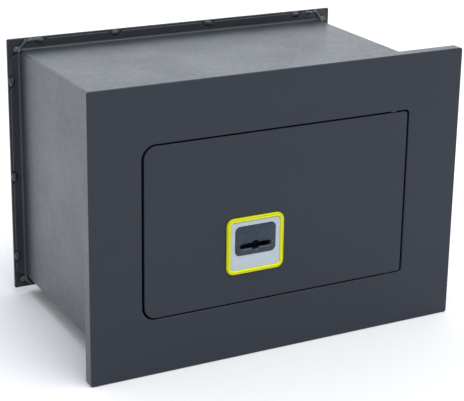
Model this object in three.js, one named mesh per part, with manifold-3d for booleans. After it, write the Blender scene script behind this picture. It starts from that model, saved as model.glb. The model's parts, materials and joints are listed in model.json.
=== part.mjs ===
// Recessed wall safe: welded steel box with a wide front frame, a pivoting plate door, two round bolts
// and a double-bit lever lock. Millimetres. +X is right from the front, +Y goes into the wall, +Z is up.
// The origin is the centre of the back plate's rear face. The door is shut and the bolts are drawn back.

import * as THREE from 'three';
import { mergeVertices } from 'three/addons/utils/BufferGeometryUtils.js';
import Module from 'manifold-3d';

// Front frame and overall size
const FRAME_WIDTH = 380;
const FRAME_HEIGHT = 270;
const FRAME_THICKNESS = 12;
const FRAME_CORNER = 2.5;
const DEPTH = 230;

// Box behind the frame, folded from sheet, with its rear lips, and the back plate
const BODY_WIDTH = 338;
const BODY_HEIGHT = 236;
const SHEET = 3;
const FOLD_RADIUS = 4.5;
const TONGUE = { depth: 1, step: 0.5 };
const LIP_WIDTH = 9.5;
const LIP_END_CUT = 7;
const LIP_SHORTER = 1;
const BACK_OVERHANG = 11;
const BACK_CORNER = 1.5;
const NOTCH_RADIUS = 7.7;
const NOTCH_DEPTH = 4.5;
const TOP_NOTCHES = [-147, -68, 35, 138];
const SIDE_NOTCHES = [-94, -10, 87];

// Door opening and door, with the running gap round the door
const OPENING = { left: -140.5, right: 133, bottom: -81.5, top: 81.5 };
const GAP_LEFT = 2.2;
const GAP_RIGHT = 2;
const GAP_TOP = 1.4;
const FREE_SIDE_CORNER = 11.5;
const HINGE_SIDE_CORNER = 3;
const CORNER_GAP = 1.7;
const DOOR_THICKNESS = 11.5;

// Pivot pins in the top and bottom edges of the door
const HINGE_X = 118;
const PIN_RADIUS = 4;
const PIN_IN_FRAME = 18;
const PIN_IN_DOOR = 12;
const RUNNING_GAP = 0.08;
const BORE_END_GAP = 2;

// Stops, keeper and the fixed bar on the hinge side
const STOP = { left: -120, right: 95, overlap: 4, height: 22, thickness: 4 };
const KEEPER = { right: -143, thickness: 4, flange: 20, depth: 32, halfHeight: 66, boreGap: 1 };
const DOG = { left: 96, right: 141, spacer: 16, halfHeight: 60, thickness: 5, clearance: 0.5 };

// Bolts and their carriage
const BOLT_RADIUS = 10;
const BOLT_CHAMFER = 1.5;
const BOLT_SPACING = 92;
const BOLT_FROM_DOOR = 16.5;
const BOLT_TIP_X = -136;
const BOLT_TAIL_X = -78;
const BAR_THICKNESS = 4;
const BAR_HALF_HEIGHT = 60;
const BAR_HALF_DEPTH = 11;
const GUIDE = { left: -134, right: -106, ear: 7, base: 3, halfHeight: 15, rearGap: 2, bore: 0.2 };

// Key axis, keyhole and key plate
const KEY_X = -29;
const KEY_Z = -26;
const KEY_SLOT_LENGTH = 31;
const KEY_SLOT_HEIGHT = 4.6;
const KEY_STEM_RADIUS = 4.2;
const PLATE_WIDTH = 58;
const PLATE_HEIGHT = 53.5;
const PLATE_CORNER = 7;
const PLATE_RISE = 1;
const BEZEL_BAND = 3.7;
const BEZEL_THICKNESS = 2.5;
const PANEL_THICKNESS = 1.5;
const INSERT = { width: 41.5, height: 28, corner: 5, rise: 5.6, thickness: 2 };
const FIT_GAP = 0.15;

// Lock, in places measured from the key axis
const HARD_PLATE_THICKNESS = 3;
const CASE = { left: -42, right: 42, bottom: -37, top: 23, wall: 2.5, floor: 2, depth: 22.5 };
const EAR = { x: 34, width: 12, length: 8, corner: 2.5 };
const COVER_THICKNESS = 2;
const COVER_POSTS = [[36, 17], [36, -31], [-36, -31]];
const POST_RADIUS = 4;
const MODULE = 1.5;
const PINION_TEETH = 10;
const TOOTH_SHARE = 0.38;
const TOOTH_HEIGHT = 0.8 * MODULE;
const ROOT_DEPTH = 1.1 * MODULE;
const FLANK_SLOPE = Math.tan(THREE.MathUtils.degToRad(20));
const PINION_RADIUS = MODULE * PINION_TEETH / 2;
const DRUM_RADIUS = 9;
const JOURNAL_RADIUS = 4;
const RACK = { right: 30, top: 17, thickness: 3.5, coverGap: 1.5, teeth: 7, tenon: 6 };
const LEVER = { count: 4, thickness: 2, pitch: 2.8, left: -27, bottom: -27, top: -14, belly: 17 };
const LEVER_PLAY = 2;
const LEVER_PIVOT = { x: 27, z: -19, postRadius: 3, eyeRadius: 6.5 };
const SPRING = { left: -18, right: 10, foot: 8, lead: 3, thickness: 0.5, clearance: 0.2 };

// Fasteners: shank and head radius, head height and the length held in the part behind
const SCREW = { shank: 2, head: 3.8, headHeight: 2.6, bite: 6 };
const COVER_SCREW = { shank: 1.5, head: 2.8, headHeight: 1.8, bite: 7 };
const COUNTERSUNK = { shank: 3, head: 5.8, headHeight: 2.8, bite: 16 };

const FRONT_Y = -DEPTH;
const FRAME_REAR_Y = FRONT_Y + FRAME_THICKNESS;
const SEAT_Y = FRAME_REAR_Y - TONGUE.depth;
const DOOR_REAR_Y = FRONT_Y + DOOR_THICKNESS;
const HINGE_Y = FRONT_Y + FRAME_THICKNESS / 2;
const DOOR = {
  left: OPENING.left + GAP_LEFT,
  right: OPENING.right - GAP_RIGHT,
  bottom: OPENING.bottom + GAP_TOP,
  top: OPENING.top - GAP_TOP,
};
const BOLT_Y = DOOR_REAR_Y + BOLT_FROM_DOOR;
const BOLT_Z = BOLT_SPACING / 2;
const CASE_FRONT_Y = DOOR_REAR_Y + HARD_PLATE_THICKNESS;
const CASE_REAR_Y = CASE_FRONT_Y + CASE.depth;
const LEVERS_FRONT_Y = CASE_FRONT_Y + CASE.floor + LEVER_PLAY;
const RACK_REAR_Y = CASE_REAR_Y - RACK.coverGap;
const RACK_FRONT_Y = RACK_REAR_Y - RACK.thickness;
const ROUND_STEPS = 32;
const SMALL_STEPS = 16;

const wasm = await Module();
wasm.setup();

// ---------- shape helpers ----------

function toSolid(geometry) {
  const bare = geometry.clone();
  bare.deleteAttribute('normal');
  bare.deleteAttribute('uv');
  const merged = mergeVertices(bare, 1e-5);
  const vertProperties = new Float32Array(merged.attributes.position.array);
  const triVerts = new Uint32Array(merged.index.array);
  return new wasm.Manifold(new wasm.Mesh({ numProp: 3, vertProperties, triVerts }));
}

function toGeometry(solid) {
  const mesh = solid.getMesh();
  const geometry = new THREE.BufferGeometry();
  geometry.setAttribute('position', new THREE.BufferAttribute(new Float32Array(mesh.vertProperties), 3));
  geometry.setIndex(new THREE.BufferAttribute(new Uint32Array(mesh.triVerts), 1));
  geometry.computeVertexNormals();
  return geometry;
}

function join(first, ...others) {
  return toGeometry(others.reduce((sum, item) => sum.add(toSolid(item)), toSolid(first)));
}

function cut(base, ...tools) {
  return toGeometry(tools.reduce((rest, tool) => rest.subtract(toSolid(tool)), toSolid(base)));
}

function block(x0, x1, y0, y1, z0, z1) {
  const geometry = new THREE.BoxGeometry(x1 - x0, y1 - y0, z1 - z0);
  return geometry.translate((x0 + x1) / 2, (y0 + y1) / 2, (z0 + z1) / 2);
}

function rodX(radius, x0, x1, y, z) {
  const geometry = new THREE.CylinderGeometry(radius, radius, x1 - x0, ROUND_STEPS);
  return geometry.rotateZ(Math.PI / 2).translate((x0 + x1) / 2, y, z);
}

function rodY(radius, y0, y1, x = 0, z = 0, steps = ROUND_STEPS) {
  const geometry = new THREE.CylinderGeometry(radius, radius, y1 - y0, steps);
  return geometry.translate(x, (y0 + y1) / 2, z);
}

function rodZ(radius, z0, z1, x, y) {
  const geometry = new THREE.CylinderGeometry(radius, radius, z1 - z0, ROUND_STEPS);
  return geometry.rotateX(Math.PI / 2).translate(x, y, (z0 + z1) / 2);
}

// A bore whose flats, not only its corners, stay clear of a shaft of the given radius.
function boreRadius(shaftRadius, gap) {
  return (shaftRadius + gap) / Math.cos(Math.PI / ROUND_STEPS);
}

// An upright outline in X and Z, pushed from y0 to y1.
function slab(shape, y0, y1, steps = 4) {
  const geometry = new THREE.ExtrudeGeometry(shape, {
    depth: y1 - y0,
    bevelEnabled: false,
    curveSegments: steps,
  });
  return geometry.rotateX(Math.PI / 2).translate(0, y1, 0);
}

// Traces a rectangle with its own radius at each side onto a shape or a hole.
function traceRectangle(path, { left, right, bottom, top }, leftRadius, rightRadius = leftRadius) {
  path.moveTo(left + leftRadius, bottom);
  path.lineTo(right - rightRadius, bottom);
  path.absarc(right - rightRadius, bottom + rightRadius, rightRadius, -Math.PI / 2, 0, false);
  path.lineTo(right, top - rightRadius);
  path.absarc(right - rightRadius, top - rightRadius, rightRadius, 0, Math.PI / 2, false);
  path.lineTo(left + leftRadius, top);
  path.absarc(left + leftRadius, top - leftRadius, leftRadius, Math.PI / 2, Math.PI, false);
  path.lineTo(left, bottom + leftRadius);
  path.absarc(left + leftRadius, bottom + leftRadius, leftRadius, Math.PI, Math.PI * 1.5, false);
  return path;
}

function rectangle(edges, leftRadius, rightRadius) {
  return traceRectangle(new THREE.Shape(), edges, leftRadius, rightRadius);
}

function ring(outer, outerRadius, inner, innerRadius, innerRightRadius) {
  const shape = rectangle(outer, outerRadius);
  shape.holes.push(traceRectangle(new THREE.Path(), inner, innerRadius, innerRightRadius));
  return shape;
}

function centred(width, height, x = 0, z = 0) {
  return { left: x - width / 2, right: x + width / 2, bottom: z - height / 2, top: z + height / 2 };
}

// The double-bit keyhole: a round stem hole with a flat wing to each side, round the key axis.
function keyhole(extra, y0, y1) {
  const height = KEY_SLOT_HEIGHT + 2 * extra;
  const slot = rectangle(centred(KEY_SLOT_LENGTH + 2 * extra, height), height / 2);
  return join(slab(slot, y0, y1, 6), rodY(KEY_STEM_RADIUS + extra, y0, y1, 0, 0, SMALL_STEPS));
}

// A fastener along Y with a flat slotted head whose underside is at headY and whose tip is at tipY.
function slottedScrew(shankRadius, headRadius, headHeight, headY, tipY) {
  const profile = [
    [0, tipY],
    [shankRadius * 0.6, tipY],
    [shankRadius, tipY + shankRadius * 0.6],
    [shankRadius, headY],
    [headRadius, headY],
    [headRadius, headY + headHeight * 0.7],
    [headRadius * 0.8, headY + headHeight],
    [0, headY + headHeight],
  ].map(([radius, y]) => new THREE.Vector2(radius, y));
  const slotWidth = headRadius * 0.3;
  const slotFloor = headY + headHeight * 0.45;
  const slotEnd = headRadius * 1.2;
  const slot = block(-slotEnd, slotEnd, slotFloor, headY + headHeight * 1.5, -slotWidth / 2, slotWidth / 2);
  return cut(new THREE.LatheGeometry(profile, SMALL_STEPS), slot);
}

// Where the four lock case screws sit, from the key axis.
function earPlaces() {
  const low = CASE.bottom - EAR.length / 2;
  const high = CASE.top + EAR.length / 2;
  return [[-EAR.x, low], [EAR.x, low], [-EAR.x, high], [EAR.x, high]];
}

function screwBores(places, shankRadius, y0, y1) {
  return places.map(([x, z]) => rodY(shankRadius + FIT_GAP, y0, y1, x, z, SMALL_STEPS));
}

// ---------- fixed box ----------

function makeFrontFrame() {
  const outline = ring(
    centred(FRAME_WIDTH, FRAME_HEIGHT), FRAME_CORNER,
    OPENING, FREE_SIDE_CORNER + CORNER_GAP, HINGE_SIDE_CORNER + CORNER_GAP / 2,
  );
  const radius = boreRadius(PIN_RADIUS, RUNNING_GAP);
  const length = PIN_IN_FRAME + BORE_END_GAP;
  const upperBore = rodZ(radius, OPENING.top - 1, OPENING.top + length, HINGE_X, HINGE_Y);
  const lowerBore = rodZ(radius, OPENING.bottom - length, OPENING.bottom + 1, HINGE_X, HINGE_Y);
  const seat = slab(wallSection(-FIT_GAP), SEAT_Y, FRAME_REAR_Y + 1);
  return cut(slab(outline, FRONT_Y, FRAME_REAR_Y, 10), upperBore, lowerBore, seat);
}

// The section of the box's folded wall, with both of its faces moved in by the same step.
function wallSection(step) {
  const outer = centred(BODY_WIDTH - 2 * step, BODY_HEIGHT - 2 * step);
  const inner = centred(BODY_WIDTH - 2 * (SHEET - step), BODY_HEIGHT - 2 * (SHEET - step));
  return ring(outer, FOLD_RADIUS - step, inner, FOLD_RADIUS - SHEET + step);
}

// The front edge of the box is a thinner tongue that stands in a groove in the frame.
function makeBodyShell() {
  const wrap = slab(wallSection(0), FRAME_REAR_Y, -2 * SHEET);
  return join(wrap, slab(wallSection(TONGUE.step), SEAT_Y, FRAME_REAR_Y));
}

// One lip along X, standing out by LIP_WIDTH from the edge at height z, with cut ends and round notches.
// Its root carries on the wall, and stops short of the folded corners.
function makeLip(side, edge, notches) {
  const half = side / 2 - LIP_SHORTER;
  const root = side / 2 - FOLD_RADIUS;
  const shape = new THREE.Shape();
  shape.moveTo(-root, edge);
  shape.lineTo(-root, edge - SHEET);
  shape.lineTo(root, edge - SHEET);
  shape.lineTo(root, edge);
  shape.lineTo(half, edge);
  shape.lineTo(half - LIP_END_CUT, edge + LIP_WIDTH);
  shape.lineTo(-half + LIP_END_CUT, edge + LIP_WIDTH);
  shape.lineTo(-half, edge);
  const plate = slab(shape, -2 * SHEET, -SHEET);
  const centre = edge + LIP_WIDTH + NOTCH_RADIUS - NOTCH_DEPTH;
  const rounds = notches.map((x) => rodY(NOTCH_RADIUS, -3 * SHEET, 0, x, centre, ROUND_STEPS));
  return cut(plate, ...rounds);
}

// The notches of opposite lips stand at the same places, so those of a lip that is turned over are mirrored.
function makeRearLips() {
  const mirrored = (places) => places.map((place) => -place);
  return {
    top: makeLip(BODY_WIDTH, BODY_HEIGHT / 2, TOP_NOTCHES),
    bottom: makeLip(BODY_WIDTH, BODY_HEIGHT / 2, mirrored(TOP_NOTCHES)).rotateY(Math.PI),
    left: makeLip(BODY_HEIGHT, BODY_WIDTH / 2, SIDE_NOTCHES).rotateY(-Math.PI / 2),
    right: makeLip(BODY_HEIGHT, BODY_WIDTH / 2, mirrored(SIDE_NOTCHES)).rotateY(Math.PI / 2),
  };
}

function makeBackPlate() {
  const edges = centred(BODY_WIDTH + 2 * BACK_OVERHANG, BODY_HEIGHT + 2 * BACK_OVERHANG);
  return slab(rectangle(edges, BACK_CORNER), -SHEET, 0);
}

function makeHingePin(side) {
  const inner = side * (DOOR.top - PIN_IN_DOOR);
  const outer = side * (OPENING.top + PIN_IN_FRAME);
  return rodZ(PIN_RADIUS, Math.min(inner, outer), Math.max(inner, outer), HINGE_X, HINGE_Y);
}

function makeDoorStop(side) {
  const middleX = (STOP.left + STOP.right) / 2;
  const middleZ = side * (OPENING.top - STOP.overlap + STOP.height / 2);
  const edges = centred(STOP.right - STOP.left, STOP.height, middleX, middleZ);
  return slab(rectangle(edges, 2), FRAME_REAR_Y, FRAME_REAR_Y + STOP.thickness);
}

// An angle strip: one leg lies on the frame, and the other has a hole for each bolt.
function makeBoltKeeper() {
  const left = KEEPER.right - KEEPER.thickness;
  const rear = FRAME_REAR_Y + KEEPER.depth;
  const leg = block(left, KEEPER.right, FRAME_REAR_Y, rear, -KEEPER.halfHeight, KEEPER.halfHeight);
  const flange = block(
    KEEPER.right - KEEPER.flange, KEEPER.right,
    FRAME_REAR_Y, FRAME_REAR_Y + KEEPER.thickness,
    -KEEPER.halfHeight, KEEPER.halfHeight,
  );
  const radius = BOLT_RADIUS + KEEPER.boreGap;
  const bores = [-BOLT_Z, BOLT_Z].map((z) => rodX(radius, left - 1, KEEPER.right + 1, BOLT_Y, z));
  return cut(join(leg, flange), ...bores);
}

// ---------- door ----------

function makeDoorPlate() {
  const radius = boreRadius(PIN_RADIUS, RUNNING_GAP);
  const boreLength = PIN_IN_DOOR + BORE_END_GAP;
  const upperBore = rodZ(radius, DOOR.top - boreLength, DOOR.top + 1, HINGE_X, HINGE_Y);
  const lowerBore = rodZ(radius, DOOR.bottom - 1, DOOR.bottom + boreLength, HINGE_X, HINGE_Y);
  const way = keyhole(1, FRONT_Y - 1, DOOR_REAR_Y + 1).translate(KEY_X, 0, KEY_Z);
  const threads = screwBores(earPlaces(), SCREW.shank, DOOR_REAR_Y - SCREW.bite - 1, DOOR_REAR_Y + 1)
    .map((bore) => bore.translate(KEY_X, 0, KEY_Z));
  const plate = slab(rectangle(DOOR, FREE_SIDE_CORNER, HINGE_SIDE_CORNER), FRONT_Y, DOOR_REAR_Y, 10);
  return cut(plate, upperBore, lowerBore, way, ...threads);
}

// The fixed bar stands behind the frame on the hinge side, so the door stays shut if its pins are cut.
function makeDogBar() {
  const spacerRear = FRAME_REAR_Y + DOG.clearance;
  const spacerRight = DOG.left + DOG.spacer;
  const spacer = block(DOG.left, spacerRight, DOOR_REAR_Y, spacerRear, -DOG.halfHeight, DOG.halfHeight);
  const edges = { left: DOG.left, right: DOG.right, bottom: -DOG.halfHeight, top: DOG.halfHeight };
  const bar = slab(rectangle(edges, 3), spacerRear, spacerRear + DOG.thickness);
  return join(spacer, bar);
}

// A bracket with two bored ears that one bolt slides through.
function makeBoltGuide(z) {
  const low = z - GUIDE.halfHeight;
  const high = z + GUIDE.halfHeight;
  const rear = BOLT_Y + BOLT_RADIUS + GUIDE.rearGap;
  const base = block(GUIDE.left, GUIDE.right, DOOR_REAR_Y, DOOR_REAR_Y + GUIDE.base, low, high);
  const front = block(GUIDE.left, GUIDE.left + GUIDE.ear, DOOR_REAR_Y, rear, low, high);
  const back = block(GUIDE.right - GUIDE.ear, GUIDE.right, DOOR_REAR_Y, rear, low, high);
  const bore = rodX(boreRadius(BOLT_RADIUS, GUIDE.bore), GUIDE.left - 1, GUIDE.right + 1, BOLT_Y, z);
  return cut(join(base, front, back), bore);
}

function makeBezel() {
  const outer = centred(PLATE_WIDTH, PLATE_HEIGHT, 0, PLATE_RISE);
  const inner = centred(PLATE_WIDTH - 2 * BEZEL_BAND, PLATE_HEIGHT - 2 * BEZEL_BAND, 0, PLATE_RISE);
  const shape = ring(outer, PLATE_CORNER, inner, PLATE_CORNER - BEZEL_BAND);
  return slab(shape, FRONT_Y - BEZEL_THICKNESS, FRONT_Y);
}

function makePanel() {
  const trim = 2 * (BEZEL_BAND + FIT_GAP);
  const outer = centred(PLATE_WIDTH - trim, PLATE_HEIGHT - trim, 0, PLATE_RISE);
  const inner = centred(INSERT.width, INSERT.height, 0, INSERT.rise);
  const shape = ring(outer, PLATE_CORNER - BEZEL_BAND - FIT_GAP, inner, INSERT.corner);
  return slab(shape, FRONT_Y - PANEL_THICKNESS, FRONT_Y);
}

function makeKeyholeInsert() {
  const edges = centred(INSERT.width - 2 * FIT_GAP, INSERT.height - 2 * FIT_GAP, 0, INSERT.rise);
  const body = slab(rectangle(edges, INSERT.corner - FIT_GAP), FRONT_Y - INSERT.thickness, FRONT_Y);
  return cut(body, keyhole(0, FRONT_Y - INSERT.thickness - 1, FRONT_Y + 1));
}

// ---------- lock, round the key axis ----------

function makeHardPlate() {
  const low = CASE.bottom - EAR.length;
  const high = CASE.top + EAR.length;
  const edges = { left: CASE.left, right: CASE.right, bottom: low, top: high };
  const plate = slab(rectangle(edges, 3), DOOR_REAR_Y, CASE_FRONT_Y);
  const holes = screwBores(earPlaces(), SCREW.shank, DOOR_REAR_Y - 1, CASE_FRONT_Y + 1);
  return cut(plate, keyhole(0.5, DOOR_REAR_Y - 1, CASE_FRONT_Y + 1), ...holes);
}

function makeLockCase() {
  const floorY = CASE_FRONT_Y + CASE.floor;
  const inside = {
    left: CASE.left + CASE.wall,
    right: CASE.right - CASE.wall,
    bottom: CASE.bottom + CASE.wall,
    top: CASE.top - CASE.wall,
  };
  const walls = slab(ring(CASE, 3, inside, 1), floorY, CASE_REAR_Y);
  const floor = slab(rectangle(CASE, 3), CASE_FRONT_Y, floorY);
  const ears = earPlaces().map(([x, z]) => {
    const outline = rectangle(centred(EAR.width, EAR.length + 2, x, z - Math.sign(z)), EAR.corner);
    return slab(outline, CASE_FRONT_Y, floorY);
  });
  const posts = COVER_POSTS.map(([x, z]) => (
    rodY(POST_RADIUS, CASE_FRONT_Y + 1, CASE_REAR_Y, x, z, SMALL_STEPS)
  ));
  const threadEnd = CASE_REAR_Y - COVER_SCREW.bite - 1;
  const threads = screwBores(COVER_POSTS, COVER_SCREW.shank, threadEnd, CASE_REAR_Y + 1);
  const screwHoles = screwBores(earPlaces(), SCREW.shank, CASE_FRONT_Y - 1, floorY + 1);
  const drumHole = rodY(boreRadius(DRUM_RADIUS, RUNNING_GAP), CASE_FRONT_Y - 1, floorY + 1);
  const rackWindow = block(
    CASE.left - 1, inside.left + 1,
    RACK_FRONT_Y - 0.5, CASE_REAR_Y + 1,
    PINION_RADIUS + ROOT_DEPTH - 0.5, RACK.top + 0.5,
  );
  return cut(
    join(walls, floor, ...ears, ...posts),
    ...threads, ...screwHoles, drumHole, keyhole(0.5, CASE_FRONT_Y - 1, floorY + 1), rackWindow,
  );
}

function makeLockCover() {
  const rear = CASE_REAR_Y + COVER_THICKNESS;
  const plate = slab(rectangle(CASE, 3), CASE_REAR_Y, rear);
  const holes = screwBores(COVER_POSTS, COVER_SCREW.shank, CASE_REAR_Y - 1, rear + 1);
  const bearing = rodY(boreRadius(JOURNAL_RADIUS, RUNNING_GAP), CASE_REAR_Y - 1, rear + 1);
  return cut(plate, bearing, ...holes);
}

// Straight-sided tooth of the pinion or rack: half widths at the root line and at the tip line.
function toothHalfWidths() {
  const pitch = Math.PI * MODULE;
  const atPitch = pitch * TOOTH_SHARE / 2;
  return {
    root: atPitch + ROOT_DEPTH * FLANK_SLOPE,
    tip: atPitch - TOOTH_HEIGHT * FLANK_SLOPE,
  };
}

function pinionShape() {
  const { root, tip } = toothHalfWidths();
  const rootRadius = PINION_RADIUS - ROOT_DEPTH;
  const tipRadius = PINION_RADIUS + TOOTH_HEIGHT;
  const shape = new THREE.Shape();
  for (let tooth = 0; tooth < PINION_TEETH; tooth += 1) {
    const middle = Math.PI / 2 + (tooth + 0.5) * 2 * Math.PI / PINION_TEETH;
    const corners = [[rootRadius, -root], [tipRadius, -tip], [tipRadius, tip], [rootRadius, root]];
    corners.forEach(([radius, across], index) => {
      const x = radius * Math.cos(middle) - across * Math.sin(middle);
      const z = radius * Math.sin(middle) + across * Math.cos(middle);
      if (tooth === 0 && index === 0) shape.moveTo(x, z);
      else shape.lineTo(x, z);
    });
  }
  return shape;
}

// The turning drum takes the key's bits in a slot, and its pinion drives the rack.
function makeKeyBarrel() {
  const drum = rodY(DRUM_RADIUS, CASE_FRONT_Y + 0.3, RACK_FRONT_Y);
  const pinion = slab(pinionShape(), RACK_FRONT_Y, RACK_REAR_Y);
  const journal = rodY(JOURNAL_RADIUS, RACK_REAR_Y - 1, CASE_REAR_Y + COVER_THICKNESS - 0.3);
  const slotEnd = RACK_FRONT_Y - 2;
  const half = KEY_SLOT_HEIGHT / 2;
  const slot = block(-DRUM_RADIUS - 1, DRUM_RADIUS + 1, CASE_FRONT_Y, slotEnd, -half, half);
  const stem = rodY(KEY_STEM_RADIUS, CASE_FRONT_Y, slotEnd, 0, 0, SMALL_STEPS);
  return cut(join(drum, pinion, journal), slot, stem);
}

// The sliding plate above the pinion, with its teeth below and a tenon that is riveted in the bolt bar.
function makeLockBolt() {
  const { root, tip } = toothHalfWidths();
  const pitch = Math.PI * MODULE;
  const rootZ = PINION_RADIUS + ROOT_DEPTH;
  const tipZ = PINION_RADIUS - TOOTH_HEIGHT;
  const shoulder = BOLT_TAIL_X + BAR_THICKNESS - KEY_X;
  const tenonLow = (rootZ + RACK.top - RACK.tenon) / 2;
  const shape = new THREE.Shape();
  shape.moveTo(shoulder, rootZ);
  for (let tooth = 0; tooth < RACK.teeth; tooth += 1) {
    const middle = tooth * pitch;
    shape.lineTo(middle - root, rootZ);
    shape.lineTo(middle - tip, tipZ);
    shape.lineTo(middle + tip, tipZ);
    shape.lineTo(middle + root, rootZ);
  }
  shape.lineTo(RACK.right, rootZ);
  shape.lineTo(RACK.right, RACK.top);
  shape.lineTo(shoulder, RACK.top);
  shape.lineTo(shoulder, tenonLow + RACK.tenon);
  shape.lineTo(shoulder - BAR_THICKNESS, tenonLow + RACK.tenon);
  shape.lineTo(shoulder - BAR_THICKNESS, tenonLow);
  shape.lineTo(shoulder, tenonLow);
  return slab(shape, RACK_FRONT_Y, RACK_REAR_Y);
}

// A flat lever below the drum, with a round belly that the key's bits sweep.
function makeLever(index) {
  const { x: pivotX, z: pivotZ, postRadius, eyeRadius } = LEVER_PIVOT;
  const down = -Math.PI / 2;
  const spread = Math.acos(-LEVER.top / LEVER.belly);
  const shape = new THREE.Shape();
  shape.moveTo(LEVER.left, LEVER.bottom);
  shape.lineTo(pivotX - eyeRadius, LEVER.bottom);
  shape.absarc(pivotX, pivotZ, eyeRadius, down, Math.PI / 2, false);
  shape.lineTo(LEVER.belly * Math.sin(spread), LEVER.top);
  shape.absarc(0, 0, LEVER.belly, down + spread, down - spread, true);
  shape.lineTo(LEVER.left, LEVER.top);
  const eye = new THREE.Path();
  eye.absarc(pivotX, pivotZ, boreRadius(postRadius, RUNNING_GAP), 0, 2 * Math.PI, true);
  shape.holes.push(eye);
  const front = LEVERS_FRONT_Y + index * LEVER.pitch;
  return slab(shape, front, front + LEVER.thickness, 8);
}

function makeLeverPost() {
  const { x, z, postRadius } = LEVER_PIVOT;
  return rodY(postRadius, CASE_FRONT_Y + CASE.floor, CASE_REAR_Y, x, z);
}

// ---------- bolt carriage ----------

function makeLockingBolt(z) {
  const body = rodX(BOLT_RADIUS, BOLT_TIP_X + BOLT_CHAMFER, BOLT_TAIL_X, BOLT_Y, z);
  const tipRadius = BOLT_RADIUS - BOLT_CHAMFER;
  const nose = new THREE.CylinderGeometry(BOLT_RADIUS, tipRadius, BOLT_CHAMFER, ROUND_STEPS);
  nose.rotateZ(-Math.PI / 2).translate(BOLT_TIP_X + BOLT_CHAMFER / 2, BOLT_Y, z);
  const threadEnd = BOLT_TAIL_X - COUNTERSUNK.bite;
  const thread = rodX(COUNTERSUNK.shank + FIT_GAP, threadEnd, BOLT_TAIL_X + 1, BOLT_Y, z);
  return cut(join(body, nose), thread);
}

function countersink(headX, y, z, extra) {
  const wide = COUNTERSUNK.head + extra;
  const narrow = COUNTERSUNK.shank + extra;
  const cone = new THREE.CylinderGeometry(wide, narrow, COUNTERSUNK.headHeight, ROUND_STEPS);
  return cone.rotateZ(-Math.PI / 2).translate(headX - COUNTERSUNK.headHeight / 2, y, z);
}

function makeBoltBar() {
  const outline = rectangle(centred(2 * BAR_HALF_DEPTH, 2 * BAR_HALF_HEIGHT), 5);
  const faceX = BOLT_TAIL_X + BAR_THICKNESS;
  const plate = slab(outline, 0, BAR_THICKNESS).rotateZ(Math.PI / 2).translate(faceX, BOLT_Y, 0);
  const holes = [-BOLT_Z, BOLT_Z].flatMap((z) => [
    countersink(faceX + 0.01, BOLT_Y, z, FIT_GAP),
    rodX(COUNTERSUNK.shank + FIT_GAP, BOLT_TAIL_X - 1, faceX + 1, BOLT_Y, z),
  ]);
  const tenonMiddle = KEY_Z + (PINION_RADIUS + ROOT_DEPTH + RACK.top) / 2;
  const slot = block(
    BOLT_TAIL_X - 1, faceX + 1,
    RACK_FRONT_Y - FIT_GAP, RACK_REAR_Y + FIT_GAP,
    tenonMiddle - RACK.tenon / 2 - FIT_GAP, tenonMiddle + RACK.tenon / 2 + FIT_GAP,
  );
  return cut(plate, ...holes, slot);
}

// Countersunk screw with a six-sided socket, flush with the bolt bar.
function makeBoltScrew(z) {
  const faceX = BOLT_TAIL_X + BAR_THICKNESS;
  const shank = rodX(COUNTERSUNK.shank, BOLT_TAIL_X - COUNTERSUNK.bite + 1, faceX - 1, BOLT_Y, z);
  const socket = new THREE.CylinderGeometry(COUNTERSUNK.shank * 0.7, COUNTERSUNK.shank * 0.7, 4, 6);
  socket.rotateZ(Math.PI / 2).translate(faceX, BOLT_Y, z);
  return cut(join(countersink(faceX, BOLT_Y, z, 0), shank), socket);
}

// ---------- lever spring ----------

// One bent leaf under the levers: its foot is on the case and its free end holds the levers up.
function makeLeverSpring() {
  const low = CASE.bottom + CASE.wall;
  const high = LEVER.bottom - SPRING.clearance;
  const { left, right, foot, lead, thickness } = SPRING;
  const shape = new THREE.Shape();
  shape.moveTo(right, low);
  shape.lineTo(right, low + thickness);
  shape.lineTo(right - foot, low + thickness);
  shape.lineTo(left + lead, high);
  shape.lineTo(left, high - lead / 2);
  shape.lineTo(left, high - lead / 2 - thickness);
  shape.lineTo(left + lead, high - thickness);
  shape.lineTo(right - foot, low);
  const rear = LEVERS_FRONT_Y + (LEVER.count - 1) * LEVER.pitch + LEVER.thickness;
  return slab(shape, LEVERS_FRONT_Y, rear);
}

// ---------- materials ----------

function finish(color, roughness, metalness) {
  return new THREE.MeshStandardMaterial({ color, roughness, metalness });
}

const graphitePaint = finish(0x40444d, 0.55, 0.1);
const boxPaint = finish(0x54585e, 0.5, 0.1);
const flangePaint = finish(0x363a40, 0.65, 0.1);
const yellowPlastic = finish(0xdee228, 0.4, 0);
const palePlastic = finish(0xbec8d0, 0.45, 0);
const darkPlastic = finish(0x484c5a, 0.45, 0);
const zincSteel = finish(0xb4b6b8, 0.35, 0.9);
const brightSteel = finish(0xc4c6c8, 0.25, 1);
const hardSteel = finish(0x6e7074, 0.45, 0.9);
const brass = finish(0xb9964a, 0.35, 1);

// ---------- assembly ----------

function put(group, name, geometry, material) {
  const mesh = new THREE.Mesh(geometry, material);
  mesh.name = name;
  group.add(mesh);
}

function groupAt(parent, x, y, z) {
  const group = new THREE.Group();
  group.position.set(x, y, z);
  parent.add(group);
  return group;
}

function addFixedBox(group) {
  put(group, 'front_frame', makeFrontFrame(), graphitePaint);
  put(group, 'body_shell', makeBodyShell(), boxPaint);
  for (const [side, lip] of Object.entries(makeRearLips())) {
    put(group, `rear_lip_${side}`, lip, flangePaint);
  }
  put(group, 'back_plate', makeBackPlate(), flangePaint);
  put(group, 'bolt_keeper', makeBoltKeeper(), graphitePaint);
  for (const [place, side] of [['upper', 1], ['lower', -1]]) {
    put(group, `hinge_pin_${place}`, makeHingePin(side), hardSteel);
    put(group, `door_stop_${place}`, makeDoorStop(side), graphitePaint);
  }
}

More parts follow.
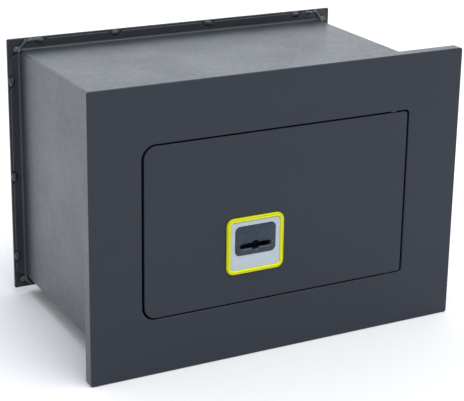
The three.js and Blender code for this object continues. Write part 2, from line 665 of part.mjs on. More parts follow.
function addKeyPlate(group) {
  put(group, 'key_plate_bezel', makeBezel(), yellowPlastic);
  put(group, 'key_plate_panel', makePanel(), palePlastic);
  put(group, 'keyhole_insert', makeKeyholeInsert(), darkPlastic);
}

function addLock(group) {
  put(group, 'hard_plate', makeHardPlate(), hardSteel);
  put(group, 'lock_case', makeLockCase(), zincSteel);
  put(group, 'lock_cover', makeLockCover(), zincSteel);
  put(group, 'lever_post', makeLeverPost(), brightSteel);
  put(group, 'lever_spring', makeLeverSpring(), brightSteel);
  put(group, 'key_barrel', makeKeyBarrel(), brass);
  put(group, 'lock_bolt', makeLockBolt(), brightSteel);
  for (let index = 0; index < LEVER.count; index += 1) {
    put(group, `lever_${index + 1}`, makeLever(index), brass);
  }
  const caseHeadY = CASE_FRONT_Y + CASE.floor;
  earPlaces().forEach(([x, z], index) => {
    const { shank, head, headHeight, bite } = SCREW;
    const screw = slottedScrew(shank, head, headHeight, caseHeadY, DOOR_REAR_Y - bite);
    put(groupAt(group, x, 0, z), `lock_case_screw_${index + 1}`, screw, zincSteel);
  });
  const coverHeadY = CASE_REAR_Y + COVER_THICKNESS;
  COVER_POSTS.forEach(([x, z], index) => {
    const { shank, head, headHeight, bite } = COVER_SCREW;
    const screw = slottedScrew(shank, head, headHeight, coverHeadY, CASE_REAR_Y - bite);
    put(groupAt(group, x, 0, z), `lock_cover_screw_${index + 1}`, screw, zincSteel);
  });
}

function addBolts(group) {
  put(group, 'bolt_bar', makeBoltBar(), zincSteel);
  for (const [place, z] of [['upper', BOLT_Z], ['lower', -BOLT_Z]]) {
    put(group, `locking_bolt_${place}`, makeLockingBolt(z), brightSteel);
    put(group, `bolt_screw_${place}`, makeBoltScrew(z), zincSteel);
    put(group, `bolt_guide_${place}`, makeBoltGuide(z), graphitePaint);
  }
}

function buildSafe() {
  const safe = new THREE.Group();
  addFixedBox(safe);
  const door = groupAt(safe, 0, 0, 0);
  put(door, 'door_plate', makeDoorPlate(), graphitePaint);
  put(door, 'hinge_side_dog_bar', makeDogBar(), graphitePaint);
  addKeyPlate(groupAt(door, KEY_X, 0, KEY_Z));
  addLock(groupAt(door, KEY_X, 0, KEY_Z));
  addBolts(door);
  return safe;
}

export default buildSafe();
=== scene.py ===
# The look of a recessed wall safe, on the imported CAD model. Metres; X right, Y into the wall, Z up.
import json
import math

import bmesh
import bpy
from mathutils import Matrix, Vector, noise


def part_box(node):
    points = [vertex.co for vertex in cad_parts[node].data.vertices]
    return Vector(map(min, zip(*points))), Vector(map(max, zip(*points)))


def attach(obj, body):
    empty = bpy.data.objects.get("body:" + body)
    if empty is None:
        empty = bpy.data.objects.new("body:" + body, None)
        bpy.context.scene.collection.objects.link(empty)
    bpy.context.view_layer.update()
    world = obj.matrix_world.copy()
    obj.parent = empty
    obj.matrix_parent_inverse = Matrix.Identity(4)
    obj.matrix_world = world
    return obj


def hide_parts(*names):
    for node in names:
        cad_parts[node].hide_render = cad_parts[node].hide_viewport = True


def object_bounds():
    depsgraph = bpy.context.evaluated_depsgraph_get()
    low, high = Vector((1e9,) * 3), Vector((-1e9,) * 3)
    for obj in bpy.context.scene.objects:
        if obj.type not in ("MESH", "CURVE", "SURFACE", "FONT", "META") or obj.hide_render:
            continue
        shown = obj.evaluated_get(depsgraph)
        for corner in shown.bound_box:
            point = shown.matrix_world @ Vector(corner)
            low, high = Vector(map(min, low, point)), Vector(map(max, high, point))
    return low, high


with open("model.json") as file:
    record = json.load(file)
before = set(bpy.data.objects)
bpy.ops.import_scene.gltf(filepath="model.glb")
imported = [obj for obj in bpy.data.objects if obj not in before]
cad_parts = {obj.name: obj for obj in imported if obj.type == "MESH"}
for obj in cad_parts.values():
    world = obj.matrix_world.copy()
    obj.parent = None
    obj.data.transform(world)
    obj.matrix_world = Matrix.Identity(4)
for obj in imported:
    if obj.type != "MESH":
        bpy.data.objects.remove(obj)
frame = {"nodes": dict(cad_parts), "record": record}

MM = 0.001
CAD_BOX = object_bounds()
NODES = frame["nodes"]

# Camera: where it stands, how it is turned, and its lens
CAMERA_PLACE = (-0.6196, -1.3044, 0.4553)
CAMERA_YAW = 27.78
CAMERA_PITCH = 17.9
CAMERA_ROLL = 0.87
CAMERA_LENS = 112.5
CAMERA_SHIFT_Y = -0.1

# Studio: a pale floor under a sky that is white behind the safe and dimmer in front of it
FLOOR_SIZE = 60.0
SKY_TINT = (0.94, 0.975, 1.03)
SKY_BEHIND = 1.5
SKY_IN_FRONT = 0.62
SUN_STRENGTH = 2.2
SUN_SPREAD = 55.0
SUN_TILT_FORWARD = 24.0
SUN_TILT_RIGHT = 10.0

# Key plate, round the key axis: the same sizes as in the CAD model
KEY_X = -29 * MM
KEY_Z = -26 * MM
PLATE_CORNER = 7 * MM
BEZEL_BAND = 3.7 * MM
INSERT_CORNER = 5 * MM
INSERT_RISE = 5.6 * MM
SLOT_LENGTH = 31 * MM
SLOT_HEIGHT = 4.6 * MM
STEM_RADIUS = 4.2 * MM
FIT_GAP = 0.15 * MM

# Front frame and door: corner radii and the gap between them, the same as in the CAD model
FRAME_CORNER = 2.5 * MM
FRAME_FRONT_ROUND = 1.0 * MM
PLATE_EDGE_ROUND = 0.5 * MM
FREE_SIDE_CORNER = 11.5 * MM
HINGE_SIDE_CORNER = 3 * MM
CORNER_GAP = 1.7 * MM
GAP_LEFT = 2.2 * MM
GAP_RIGHT = 2 * MM
GAP_TOP = 1.4 * MM
EDGE_HOLD = 0.05 * MM

# The skin of the box's lighter, glossier paint round the frame's edge, a painted highlight: its
# thickness, and how far behind the front face it starts
EDGE_HIGHLIGHT_SKIN = 0.12 * MM
EDGE_HIGHLIGHT_START = 0.9 * MM

# Rear lips: where their round notches are, and the welds that fill them
TOP_NOTCHES = (-147 * MM, -68 * MM, 35 * MM, 138 * MM)
SIDE_NOTCHES = (-94 * MM, -10 * MM, 87 * MM)
NOTCH_DEPTH = 4.5 * MM
LIP_END_CUT = 7 * MM
BEND_RADIUS = 2.2 * MM

# Stitch welds between the box and the front frame
STITCH_LENGTH = 26 * MM
STITCH_RADIUS = 2.4 * MM
STITCHED_SHARE = 0.82
LONG_SIDE = 300 * MM


# ---------- materials ----------


class Nodes:
    """A material's node tree, with short ways to add to it."""

    def __init__(self, name):
        self.material = bpy.data.materials.new(name)
        self.material.use_nodes = True
        self.tree = self.material.node_tree
        self.shader = self.tree.nodes["Principled BSDF"]
        self.place = self.tree.nodes.new("ShaderNodeTexCoord").outputs["Object"]

    def link(self, source, target):
        self.tree.links.new(source, target)

    def stretched(self, scale):
        mapping = self.tree.nodes.new("ShaderNodeMapping")
        mapping.inputs["Scale"].default_value = scale
        self.link(self.place, mapping.inputs["Vector"])
        return mapping.outputs["Vector"]

    def noise(self, scale, detail=4.0, roughness=0.55, vector=None):
        node = self.tree.nodes.new("ShaderNodeTexNoise")
        node.inputs["Scale"].default_value = scale
        node.inputs["Detail"].default_value = detail
        node.inputs["Roughness"].default_value = roughness
        self.link(vector or self.place, node.inputs["Vector"])
        return node.outputs["Fac"]

    def spread(self, value, low, high, start=0.3, end=0.7):
        node = self.tree.nodes.new("ShaderNodeMapRange")
        node.inputs["From Min"].default_value = start
        node.inputs["From Max"].default_value = end
        node.inputs["To Min"].default_value = low
        node.inputs["To Max"].default_value = high
        self.link(value, node.inputs["Value"])
        return node.outputs["Result"]

    def sum(self, first, second):
        node = self.tree.nodes.new("ShaderNodeMath")
        self.link(first, node.inputs[0])
        self.link(second, node.inputs[1])
        return node.outputs["Value"]

    def mix(self, factor, first, second):
        node = self.tree.nodes.new("ShaderNodeMix")
        node.data_type = "RGBA"
        self.link(factor, node.inputs["Factor"])
        for socket, colour in zip((node.inputs[6], node.inputs[7]), (first, second)):
            if hasattr(colour, "links"):
                self.link(colour, socket)
            else:
                socket.default_value = (*colour, 1.0)
        return node.outputs[2]

    def bump(self, height, depth, strength):
        node = self.tree.nodes.new("ShaderNodeBump")
        node.inputs["Strength"].default_value = strength
        node.inputs["Distance"].default_value = depth
        self.link(height, node.inputs["Height"])
        previous = self.shader.inputs["Normal"].links
        if previous:
            self.link(previous[0].from_socket, node.inputs["Normal"])
        self.link(node.outputs["Normal"], self.shader.inputs["Normal"])

    def colour(self, socket):
        self.link(socket, self.shader.inputs["Base Color"])

    def roughness(self, socket):
        self.link(socket, self.shader.inputs["Roughness"])

    def constant(self, **values):
        for name, value in values.items():
            self.shader.inputs[name.replace("_", " ")].default_value = value


def tint(colour, factor):
    return tuple(channel * factor for channel in colour)


def powder_coat(name, colour, cloud, gloss, shine):
    """Baked powder paint: orange-peel skin, a fine grain and faint clouds in its colour."""
    paint = Nodes(name)
    clouds = paint.spread(paint.noise(9, 3), 0, 1)
    grain = paint.spread(paint.noise(1500, 2), 0, 1)
    clouded = paint.mix(clouds, tint(colour, 1 - cloud), tint(colour, 1 + cloud))
    speckled = paint.mix(grain, tint(colour, 0.86), tint(colour, 1.14))
    fine = paint.spread(paint.noise(60, 4), 0.2, 0.5)
    paint.colour(paint.mix(fine, clouded, speckled))
    paint.roughness(paint.spread(paint.noise(40, 5), gloss - 0.05, gloss + 0.06))
    paint.bump(paint.noise(260, 2), 0.05 * MM, 0.35)
    paint.bump(paint.noise(1400, 2), 0.02 * MM, 0.5)
    paint.constant(Specular_IOR_Level=shine)
    return paint.material


def thin_paint(name, colour, cloud, gloss, shine):
    """A thin sprayed coat on sheet steel: a mottled sheen, dry overspray specks and faint ripples."""
    paint = Nodes(name)
    clouds = paint.spread(paint.noise(14, 5, 0.6), 0, 1, 0.25, 0.75)
    clouded = paint.mix(clouds, tint(colour, 1 - cloud), tint(colour, 1 + cloud))
    specks = paint.spread(paint.noise(900, 3, 0.7), 0, 1, 0.52, 0.72)
    paint.colour(paint.mix(specks, clouded, tint(colour, 1.5)))
    mottle = paint.spread(paint.noise(170, 4, 0.65), -0.05, 0.06)
    broad = paint.spread(paint.noise(18, 3), gloss - 0.03, gloss + 0.05)
    paint.roughness(paint.sum(mottle, broad))
    paint.bump(paint.noise(45, 3), 0.2 * MM, 0.1)
    paint.bump(paint.noise(330, 3), 0.05 * MM, 0.35)
    paint.bump(paint.noise(1100, 3), 0.03 * MM, 0.6)
    paint.constant(Specular_IOR_Level=shine)
    return paint.material


def moulded_plastic(name, colour, speckle, gloss, grain, shine):
    """Moulded plastic with a fine spark-eroded grain."""
    plastic = Nodes(name)
    soft = plastic.spread(plastic.noise(450, 3, 0.7), 0, 1)
    plastic.colour(plastic.mix(soft, tint(colour, 1 - speckle), tint(colour, 1 + speckle)))
    plastic.roughness(plastic.spread(plastic.noise(300, 3), gloss - 0.04, gloss + 0.05))
    plastic.bump(plastic.noise(2600, 2), 0.01 * MM, grain)
    plastic.constant(Specular_IOR_Level=shine)
    return plastic.material


def metal(name, colour, gloss, scale, depth):
    """Bare or plated metal: streaks along the working direction, stains and a fine grain."""
    steel = Nodes(name)
    streaks = steel.noise(1, 4, 0.6, steel.stretched(scale))
    stains = steel.spread(steel.noise(55, 4), 0, 1)
    worked = steel.mix(steel.spread(streaks, 0, 1), tint(colour, 0.84), tint(colour, 1.08))
    stained = steel.mix(steel.spread(streaks, 0, 1), tint(colour, 0.72), tint(colour, 0.94))
    steel.colour(steel.mix(stains, worked, stained))
    steel.roughness(steel.spread(streaks, gloss - 0.06, gloss + 0.08))
    steel.bump(streaks, depth, 0.4)
    steel.constant(Metallic=1.0)
    return steel.material


def make_materials():
    return {
        "graphite_paint": powder_coat("graphite_paint", (0.014, 0.019, 0.030), 0.06, 0.36, 0.36),
        "box_paint": thin_paint("box_paint", (0.020, 0.029, 0.037), 0.2, 0.35, 0.86),
        "flange_paint": thin_paint("flange_paint", (0.026, 0.031, 0.036), 0.15, 0.38, 0.4),
        "yellow_plastic": moulded_plastic("yellow_plastic", (0.67, 0.69, 0.004), 0.03, 0.3, 0.1, 0.3),
        "pale_plastic": moulded_plastic("pale_plastic", (0.42, 0.48, 0.52), 0.04, 0.36, 0.25, 0.5),
        "dark_plastic": moulded_plastic("dark_plastic", (0.013, 0.024, 0.040), 0.5, 0.36, 0.8, 0.5),
        "zinc_steel": metal("zinc_steel", (0.50, 0.51, 0.53), 0.36, (90, 90, 260), 0.01 * MM),
        "bright_steel": metal("bright_steel", (0.60, 0.60, 0.61), 0.24, (2400, 60, 60), 0.01 * MM),
        "hard_steel": metal("hard_steel", (0.20, 0.20, 0.215), 0.45, (120, 120, 700), 0.02 * MM),
        "brass": metal("brass", (0.62, 0.44, 0.16), 0.3, (120, 120, 900), 0.01 * MM),
    }


MATERIALS = make_materials()


# ---------- mesh helpers ----------


def mesh_object(name, bm, smooth_angle=35):
    """An object from a bmesh, smooth except over edges sharper than the angle."""
    bmesh.ops.recalc_face_normals(bm, faces=bm.faces)
    mesh = bpy.data.meshes.new(name)
    bm.to_mesh(mesh)
    bm.free()
    mesh.shade_smooth()
    mesh.set_sharp_from_angle(angle=math.radians(smooth_angle))
    piece = bpy.data.objects.new(name, mesh)
    bpy.context.scene.collection.objects.link(piece)
    return piece


def add_piece(piece, body, slot, *replaced):
    piece.data.materials.append(MATERIALS[slot])
    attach(piece, body)
    if replaced:
        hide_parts(*replaced)


def loft(bm, loops, closed=False):
    """Joins loops of equally many points, one after the other, and the last to the first if closed."""
    rows = [[bm.verts.new(point) for point in loop] for loop in loops]
    pairs = list(zip(rows, rows[1:])) + ([(rows[-1], rows[0])] if closed else [])
    for near, far in pairs:
        for index in range(len(near)):
            after = (index + 1) % len(near)
            bm.faces.new((near[index], near[after], far[after], far[index]))
    return rows


class Outline:
    """An upright rectangle with round corners, which may differ between its left and right sides."""

    def __init__(self, x, z, width, height, right_corner, left_corner=None):
        self.x = x
        self.z = z
        self.width = width
        self.height = height
        self.right_corner = right_corner
        self.left_corner = right_corner if left_corner is None else left_corner

    def grown(self, by):
        """The outline moved outwards by the same amount all round."""
        width, height = self.width + 2 * by, self.height + 2 * by
        return Outline(self.x, self.z, width, height, self.right_corner + by, self.left_corner + by)

    def loop(self, y, grow=0.0, steps=10):
        """Points round the rectangle, grown by the same amount all round."""
        points = []
        for quarter, (side, up) in enumerate(((1, 1), (-1, 1), (-1, -1), (1, -1))):
            radius = (self.right_corner if side > 0 else self.left_corner) + grow
            centre_x = self.x + side * (self.width / 2 + grow - radius)
            centre_z = self.z + up * (self.height / 2 + grow - radius)
            for step in range(steps + 1):
                angle = math.radians(90 * (quarter + step / steps))
                away = Vector((math.cos(angle), 0, math.sin(angle))) * radius
                points.append(Vector((centre_x, y, centre_z)) + away)
        return points


def round_edge(front, back, front_round, back_round, steps=4):
    """The rounded edge of a plate, from its rear to its front face, as pairs of inset and y."""
    quarter = [math.radians(90 * step / steps) for step in range(steps + 1)]
    rear = [(back_round * (1 - math.sin(a)), back - back_round * (1 - math.cos(a))) for a in quarter]
    fore = [(front_round * (1 - math.cos(a)), front + front_round * (1 - math.sin(a))) for a in quarter]
    beside = [(0.0, back - back_round - EDGE_HOLD), (0.0, front + front_round + EDGE_HOLD)]
    return [(back_round + EDGE_HOLD, back)] + rear + beside + fore + [(front_round + EDGE_HOLD, front)]


def plate_with_hole(name, outline, hole, front, back, front_round, back_round):
    """A plate with a hole through it; the hole's edges are rounded like the outer ones."""
    edge = round_edge(front, back, front_round, back_round)
    loops = [outline.loop(y, -inset) for inset, y in edge]
    loops += [hole.loop(y, inset) for inset, y in reversed(edge)]
    bm = bmesh.new()
    loft(bm, loops, closed=True)
    return mesh_object(name, bm)


def node_outline(node, right_corner, left_corner=None):
    """The outline of a CAD node, seen from the front."""
    low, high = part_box(node)
    middle = (low + high) / 2
    return Outline(middle.x, middle.z, high.x - low.x, high.z - low.z, right_corner, left_corner)


# ---------- front frame and door ----------


def make_front_frame():
    """The frame's plate, and round its edge a thin skin in the box's lighter paint: a painted highlight
    along the edge.
    """
    low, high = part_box("front_frame")
    door = node_outline("door_plate", HINGE_SIDE_CORNER, FREE_SIDE_CORNER)
    left = door.x - door.width / 2 - GAP_LEFT
    right = door.x + door.width / 2 + GAP_RIGHT
    opening = Outline(
        (left + right) / 2, 0.0, right - left, door.height + 2 * GAP_TOP,
        HINGE_SIDE_CORNER + CORNER_GAP / 2, FREE_SIDE_CORNER + CORNER_GAP,
    )
    edge = node_outline("front_frame", FRAME_CORNER)
    face = edge.grown(-EDGE_HIGHLIGHT_SKIN)
    plate = plate_with_hole(
        "frame_plate", face, opening, low.y, high.y, FRAME_FRONT_ROUND, PLATE_EDGE_ROUND
    )
    add_piece(plate, "safe_body", "graphite_paint", "front_frame")
    # The edge skin uses the lighter, glossier box paint as a painted highlight; the real frame edge has
    # the same powder coat as the front.
    inside = edge.grown(-4 * EDGE_HIGHLIGHT_SKIN)
    highlight_skin = plate_with_hole(
        "frame_edge_painted_highlight", edge, inside, low.y + EDGE_HIGHLIGHT_START, high.y - EDGE_HOLD, 0.1 * MM, 0.1 * MM
    )
    add_piece(highlight_skin, "safe_body", "box_paint")


def make_door():
    """The door plate; its hole is as wide as the keyhole and as high as the keyhole's round middle."""
    low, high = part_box("door_plate")
    outline = node_outline("door_plate", HINGE_SIDE_CORNER, FREE_SIDE_CORNER)
    hole = Outline(KEY_X, KEY_Z, SLOT_LENGTH, 2 * STEM_RADIUS, STEM_RADIUS)
    piece = plate_with_hole(
        "door_face", outline, hole, low.y, high.y, PLATE_EDGE_ROUND, PLATE_EDGE_ROUND
    )
    add_piece(piece, "door", "graphite_paint", "door_plate")


# ---------- key plate ----------


def make_bezel():
    """The yellow frame: a thin bead, a crease, and a crowned band that slopes down to the panel.

    The profile is in millimetres: how far in from the outer edge, and how far in front of the door.
    """
    outline = node_outline("key_plate_bezel", PLATE_CORNER)
    low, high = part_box("key_plate_bezel")
    crown = (high.y - low.y) / MM
    bead = ((0, 0), (0, 1.4), (0.1, 1.9), (0.4, 2.3), (0.7, 2.35), (0.95, 2.1))
    crease = ((1.1, 1.5), (1.35, 1.5))
    band = ((1.5, 2.05), (1.8, 2.4), (2.2, crown), (2.8, 2.4), (3.3, 2.1), (3.55, 1.7))
    inside = ((BEZEL_BAND / MM, 1.35), (BEZEL_BAND / MM, 0))
    profile = bead + crease + band + inside
    bm = bmesh.new()
    loops = [outline.loop(high.y - rise * MM, -inset * MM) for inset, rise in profile]
    loft(bm, loops, closed=True)
    add_piece(mesh_object("key_plate_frame", bm), "door", "yellow_plastic", "key_plate_bezel")


def make_panel():
    """The pale panel inside the yellow frame, with a hole for the dark insert."""
    low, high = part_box("key_plate_panel")
    outline = node_outline("key_plate_panel", PLATE_CORNER - BEZEL_BAND - FIT_GAP)
    hole = node_outline("keyhole_insert", INSERT_CORNER - FIT_GAP).grown(FIT_GAP)
    piece = plate_with_hole("key_plate_face", outline, hole, low.y, high.y, 0.3 * MM, 0.1 * MM)
    add_piece(piece, "door", "pale_plastic", "key_plate_panel")


def keyhole_reach(angle, extra):
    """How far the keyhole's edge is from the key axis in one direction, with extra all round."""
    half_length = SLOT_LENGTH / 2 + extra
    half_height = SLOT_HEIGHT / 2 + extra
    along, across = abs(math.cos(angle)), abs(math.sin(angle))
    straight = half_length - half_height
    if across * straight >= along * half_height:
        slot = half_height / across
    else:
        middle = straight * along
        slot = middle + math.sqrt(half_height**2 - (straight * across) ** 2)
    return max(slot, STEM_RADIUS + extra)


def rectangle_reach(angle, width, height, radius, rise):
    """How far a round-cornered rectangle, raised above the key axis, reaches in one direction.

    The edge is found by halving the distance that still holds it.
    """
    near, far = 0.0, width + height
    for _ in range(40):
        middle = (near + far) / 2
        x = abs(middle * math.cos(angle)) - (width / 2 - radius)
        z = abs(middle * math.sin(angle) - rise) - (height / 2 - radius)
        outside = math.hypot(max(x, 0), max(z, 0)) + min(max(x, z), 0) > radius
        near, far = (near, middle) if outside else (middle, far)
    return near


def keyhole_angles():
    """Directions from the key axis, closer together towards the ends of the slot."""
    angles = []
    for half in (0, 1):
        for step in range(96):
            share = step / 96 * 2 - 1
            bend = math.copysign(abs(share) ** 1.8, share)
            angles.append(math.pi * (half + (bend + 1) / 2) + math.pi / 2)
    return angles


def loop_from_reach(angles, reach, y):
    """Points round the key axis, each as far out as reach says for its direction."""
    points = []
    for angle in angles:
        distance = reach(angle)
        across, up = distance * math.cos(angle), distance * math.sin(angle)
        points.append(Vector((KEY_X + across, y, KEY_Z + up)))
    return points


def make_insert():
    """The dark insert: a soft outer edge, and a raised rim round the keyhole."""
    low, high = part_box("keyhole_insert")
    width, height = high.x - low.x, high.z - low.z
    corner = INSERT_CORNER - FIT_GAP
    angles = keyhole_angles()
    outer = (
        (0.0, high.y),
        (0.0, low.y + 0.35 * MM),
        (0.1 * MM, low.y + 0.1 * MM),
        (0.35 * MM, low.y),
    )
    rim = (
        (1.9 * MM, low.y),
        (1.7 * MM, low.y - 0.12 * MM),
        (1.5 * MM, low.y - 0.18 * MM),
        (1.0 * MM, low.y - 0.18 * MM),
        (0.9 * MM, low.y - 0.12 * MM),
        (0.05 * MM, low.y + 0.6 * MM),
        (0.0, low.y + 0.75 * MM),
        (0.0, high.y),
    )
    loops = [
        loop_from_reach(
            angles,
            lambda angle: rectangle_reach(
                angle, width - 2 * inset, height - 2 * inset, corner - inset, INSERT_RISE
            ),
            y,
        )
        for inset, y in outer
    ]
    loops += [
        loop_from_reach(angles, lambda angle: keyhole_reach(angle, extra), y) for extra, y in rim
    ]
    bm = bmesh.new()
    loft(bm, loops, closed=True)
    add_piece(mesh_object("keyhole_face", bm), "door", "dark_plastic", "keyhole_insert")


# ---------- welds and bends ----------


def wobble(point, size, seed):
    """A smooth value between about -1 and 1 that changes over the given size."""
    return noise.noise(point / size + Vector((seed * 7.1, seed * 3.7, seed * 1.9)))


def add_blob(bm, centre, radii, seed):
    """A round spot weld: a lump with frozen ripples and an uneven edge."""
    made = bmesh.ops.create_icosphere(bm, subdivisions=3, radius=1.0)["verts"]
    for vert in made:
        direction = vert.co.normalized()
        ripple = 0.05 * math.sin(9 * math.hypot(direction.x, direction.z) * math.pi)
        lump = 0.22 * wobble(direction, 0.9, seed) + 0.08 * wobble(direction, 0.3, seed)
        shape = direction * (1 + ripple + lump)
        vert.co = centre + Vector(tuple(s * r for s, r in zip(shape, radii)))


def add_bead(bm, start, end, radius, seed):
    """A weld bead between two points: a round ridge with the ripples of the moving arc."""
    sides, steps_per_radius = 12, 4
    along = end - start
    length = along.length
    direction = along.normalized()
    across = direction.orthogonal().normalized()
    upright = direction.cross(across)
    count = max(8, int(length / radius * steps_per_radius))
    loops = []
    for index in range(count + 1):
        share = index / count
        middle = start + along * share
        taper = math.sqrt(max(0.0, 1 - abs(2 * share - 1) ** 6)) * 0.85 + 0.15
        ripple = 1 + 0.09 * math.cos(2 * math.pi * share * length / (0.75 * radius))
        size = radius * taper * ripple * (1 + 0.18 * wobble(middle, 2.5 * radius, seed))
        ring = []
        for side in range(sides):
            angle = 2 * math.pi * side / sides
            spoke = across * math.cos(angle) + upright * math.sin(angle)
            dent = 1 + 0.06 * wobble(middle + spoke * size, radius, seed + 5)
            ring.append(middle + spoke * size * dent)
        loops.append(ring)
    rows = loft(bm, loops)
    bm.faces.new(reversed(rows[0]))
    bm.faces.new(rows[-1])


def add_weld_chain(bm, start, end, radius, seed):
    """A craggy weld: a row of uneven lumps that run into each other."""
    count = max(3, round((end - start).length / (1.1 * radius)))
    for index in range(count + 1):
        place = start.lerp(end, index / count)
        size = radius * (1 + 0.45 * wobble(place, 1.7 * radius, seed))
        drift = Vector((0, 0, 0.5 * radius * wobble(place, 2.3 * radius, seed + 3)))
        add_blob(bm, place + drift, Vector((size, 1.25 * size, size)), seed + index)


def body_sides():
    """For each side of the box: the way out from it, the way along it, and its half sizes."""
    low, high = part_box("body_shell")
    half_width = (high.x - low.x) / 2
    half_height = (high.z - low.z) / 2
    up, right = Vector((0, 0, 1)), Vector((1, 0, 0))
    return {
        "top": (up, right, half_height, half_width, TOP_NOTCHES),
        "bottom": (-up, right, half_height, half_width, TOP_NOTCHES),
        "left": (-right, up, half_width, half_height, SIDE_NOTCHES),
        "right": (right, up, half_width, half_height, SIDE_NOTCHES),
    }


def make_notch_welds():
    """A spot weld in each notch holds the lips to the back plate."""
    plate_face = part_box("back_plate")[0].y
    lip_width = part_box("rear_lip_top")[1].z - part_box("body_shell")[1].z
    bm = bmesh.new()
    for number, (out, along, reach, _, notches) in enumerate(body_sides().values()):
        for index, place in enumerate(notches):
            seed = 10 * number + index
            drift = 0.4 * MM * wobble(out, 1, seed)
            centre = out * (reach + lip_width - 0.35 * NOTCH_DEPTH) + along * (place + drift)
            centre.y = plate_face - 1.2 * MM
            size = Vector((2.9 * MM,) * 3) + 2.2 * MM * Vector(map(abs, along))
            add_blob(bm, centre, size, seed)
    add_piece(mesh_object("notch_welds", bm, 60), "safe_body", "flange_paint")


def make_corner_welds():
    """Each rear corner: two lumps join the lips, and a craggy weld runs up the long lip's cut end."""
    plate_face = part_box("back_plate")[0].y
    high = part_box("body_shell")[1]
    lip_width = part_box("rear_lip_top")[1].z - high.z
    bm = bmesh.new()
    corners = [(side_x, side_z) for side_x in (-1, 1) for side_z in (-1, 1)]
    for index, (side_x, side_z) in enumerate(corners):
        right, up = Vector((side_x, 0, 0)), Vector((0, 0, side_z))
        corner = Vector((side_x * high.x, plate_face - 1.8 * MM, side_z * high.z))
        outer = corner + 2.2 * MM * right + 1.0 * MM * up
        inner = corner + Vector((0, -1.6 * MM, 0))
        add_blob(bm, outer, Vector((3.9, 2.6, 3.0)) * MM, 40 + index)
        add_blob(bm, inner, Vector((2.6, 2.2, 2.4)) * MM, 45 + index)
        foot = corner - 1.5 * MM * right + 2.5 * MM * up
        tip = corner - LIP_END_CUT * right + (lip_width - 1.0 * MM) * up
        add_weld_chain(bm, foot, tip, 1.9 * MM, 50 + 10 * index)
        add_weld_chain(bm, tip, tip - 11 * MM * right, 1.6 * MM, 55 + 10 * index)
    add_piece(mesh_object("corner_welds", bm, 60), "safe_body", "box_paint")


def make_lip_bends():
    """The small cove where each side of the box is bent out into its lip."""
    lip_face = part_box("rear_lip_top")[0].y
    bm = bmesh.new()
    for out, along, reach, half_length, _ in body_sides().values():
        section = [Vector((0, lip_face, 0)) + out * reach]
        for step in range(9):
            angle = math.radians(90 * step / 8)
            y = lip_face - BEND_RADIUS * (1 - math.cos(angle))
            section.append(Vector((0, y, 0)) + out * (reach + BEND_RADIUS * (1 - math.sin(angle))))
        ends = [along * (sign * (half_length - 2 * MM)) for sign in (-1, 1)]
        rows = loft(bm, [[point + end for point in section] for end in ends])
        bm.faces.new(reversed(rows[0]))
        bm.faces.new(rows[-1])
    add_piece(mesh_object("lip_bends", bm, 50), "safe_body", "flange_paint")


def make_stitch_welds():
    """Short beads join the outside of the box to the rear face of the front frame."""
    frame_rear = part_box("front_frame")[1].y
    bm = bmesh.new()
    for number, (out, along, reach, half_length, _) in enumerate(body_sides().values()):
        count = 4 if 2 * half_length > LONG_SIDE else 3
        spread = 2 * half_length * STITCHED_SHARE
        for index in range(count):
            middle = along * (spread * ((index + 0.5) / count - 0.5)) + out * reach
            middle.y = frame_rear
            half = along * STITCH_LENGTH / 2
            add_bead(bm, middle - half, middle + half, STITCH_RADIUS, 80 + 5 * number + index)
    add_piece(mesh_object("frame_welds", bm, 60), "safe_body", "box_paint")


# ---------- CAD nodes: soft edges and materials ----------


def make_soften_group():
    """Nodes that join the CAD triangles into one surface, smooth over its curved faces only."""
    group = bpy.data.node_groups.new("soften", "GeometryNodeTree")
    group.interface.new_socket("Geometry", in_out="INPUT", socket_type="NodeSocketGeometry")
    group.interface.new_socket("Geometry", in_out="OUTPUT", socket_type="NodeSocketGeometry")
    add = group.nodes.new
    start, end = add("NodeGroupInput"), add("NodeGroupOutput")
    bare = add("GeometryNodeRemoveAttribute")
    bare.inputs["Name"].default_value = "custom_normal"
    merge = add("GeometryNodeMergeByDistance")
    merge.inputs["Distance"].default_value = 0.002 * MM
    faces = add("GeometryNodeSetShadeSmooth")
    edges = add("GeometryNodeSetShadeSmooth")
    edges.domain = "EDGE"
    angle = add("GeometryNodeInputMeshEdgeAngle")
    gentle = add("FunctionNodeCompare")
    gentle.operation = "LESS_THAN"
    gentle.inputs["B"].default_value = math.radians(30)
    group.links.new(angle.outputs["Unsigned Angle"], gentle.inputs["A"])
    group.links.new(gentle.outputs["Result"], edges.inputs["Shade Smooth"])
    chain = [start, bare, merge, faces, edges, end]
    for first, second in zip(chain, chain[1:]):
        group.links.new(first.outputs[0], second.inputs[0])
    return group


EDGE_WIDTHS = {
    "back_plate": 0.6 * MM,
    "rear_lip_top": 0.5 * MM,
    "rear_lip_bottom": 0.5 * MM,
    "rear_lip_left": 0.5 * MM,
    "rear_lip_right": 0.5 * MM,
    "lock_case": 0.3 * MM,
    "lock_cover": 0.25 * MM,
    "hinge_side_dog_bar": 0.5 * MM,
    "bolt_keeper": 0.5 * MM,
    "bolt_bar": 0.35 * MM,
}


def dress_cad_nodes():
    soften = make_soften_group()
    slots = {part["node"]: part["material_slot"] for part in frame["record"]["subparts"]}
    for name, node in NODES.items():
        node.data.materials.clear()
        node.data.materials.append(MATERIALS[slots[name]])
        node.modifiers.new("soften", "NODES").node_group = soften
        if name in EDGE_WIDTHS:
            bevel = node.modifiers.new("edges", "BEVEL")
            bevel.width = EDGE_WIDTHS[name]
            bevel.segments = 2
            bevel.limit_method = "ANGLE"
            bevel.angle_limit = math.radians(40)
            bevel.use_clamp_overlap = False
            bevel.harden_normals = True


# ---------- studio ----------


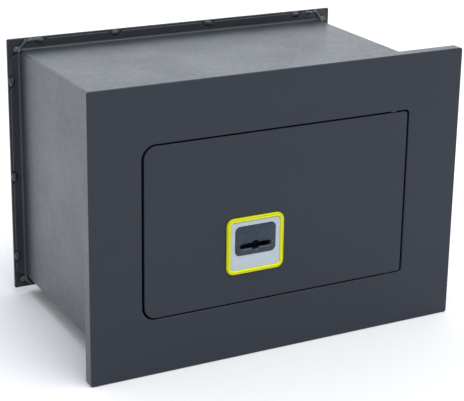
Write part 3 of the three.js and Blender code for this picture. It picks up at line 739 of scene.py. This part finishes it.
def make_floor():
    floor_material = bpy.data.materials.new("studio_floor")
    floor_material.use_nodes = True
    shader = floor_material.node_tree.nodes["Principled BSDF"]
    shader.inputs["Base Color"].default_value = (0.86, 0.86, 0.87, 1.0)
    shader.inputs["Roughness"].default_value = 0.9
    shader.inputs["Specular IOR Level"].default_value = 0.0
    bm = bmesh.new()
    bmesh.ops.create_grid(bm, x_segments=2, y_segments=2, size=FLOOR_SIZE / 2)
    bmesh.ops.translate(bm, verts=bm.verts, vec=(0, 0, CAD_BOX[0].z))
    floor = mesh_object("studio_floor", bm)
    floor.data.materials.append(floor_material)


def make_sky():
    """A plain sky that goes from white behind the safe to dimmer behind the camera."""
    world = bpy.data.worlds.new("studio")
    bpy.context.scene.world = world
    world.use_nodes = True
    tree = world.node_tree
    direction = tree.nodes.new("ShaderNodeTexCoord").outputs["Generated"]
    split = tree.nodes.new("ShaderNodeSeparateXYZ")
    ramp = tree.nodes.new("ShaderNodeMapRange")
    ramp.interpolation_type = "SMOOTHSTEP"
    ramp.inputs["From Min"].default_value = 0.0
    ramp.inputs["From Max"].default_value = 0.9
    ramp.inputs["To Min"].default_value = SKY_IN_FRONT
    ramp.inputs["To Max"].default_value = SKY_BEHIND
    tree.links.new(direction, split.inputs[0])
    tree.links.new(split.outputs["Y"], ramp.inputs["Value"])
    tree.links.new(ramp.outputs["Result"], tree.nodes["Background"].inputs["Strength"])
    tree.nodes["Background"].inputs["Color"].default_value = (*SKY_TINT, 1)


def make_sun():
    """A wide, soft light from above, a little in front and to the right."""
    light = bpy.data.lights.new("overhead", "SUN")
    light.energy = SUN_STRENGTH
    light.angle = math.radians(SUN_SPREAD)
    sun = bpy.data.objects.new("overhead", light)
    sun.rotation_euler = (math.radians(SUN_TILT_FORWARD), math.radians(SUN_TILT_RIGHT), 0)
    bpy.context.scene.collection.objects.link(sun)


def make_camera():
    lens = bpy.data.cameras.new("camera")
    lens.lens = CAMERA_LENS
    lens.sensor_width = 36
    lens.shift_y = CAMERA_SHIFT_Y
    lens.clip_end = 200
    camera = bpy.data.objects.new("camera", lens)
    turn = (
        Matrix.Rotation(math.radians(-CAMERA_YAW), 4, "Z")
        @ Matrix.Rotation(math.radians(90 - CAMERA_PITCH), 4, "X")
        @ Matrix.Rotation(math.radians(CAMERA_ROLL), 4, "Z")
    )
    camera.matrix_world = Matrix.Translation(CAMERA_PLACE) @ turn
    bpy.context.scene.collection.objects.link(camera)
    bpy.context.scene.camera = camera


# ---------- scene ----------

bpy.context.scene.view_settings.view_transform = "Standard"
dress_cad_nodes()
make_front_frame()
make_door()
make_bezel()
make_panel()
make_insert()
make_notch_welds()
make_corner_welds()
make_lip_bends()
make_stitch_welds()
make_floor()
make_sky()
make_sun()
make_camera()
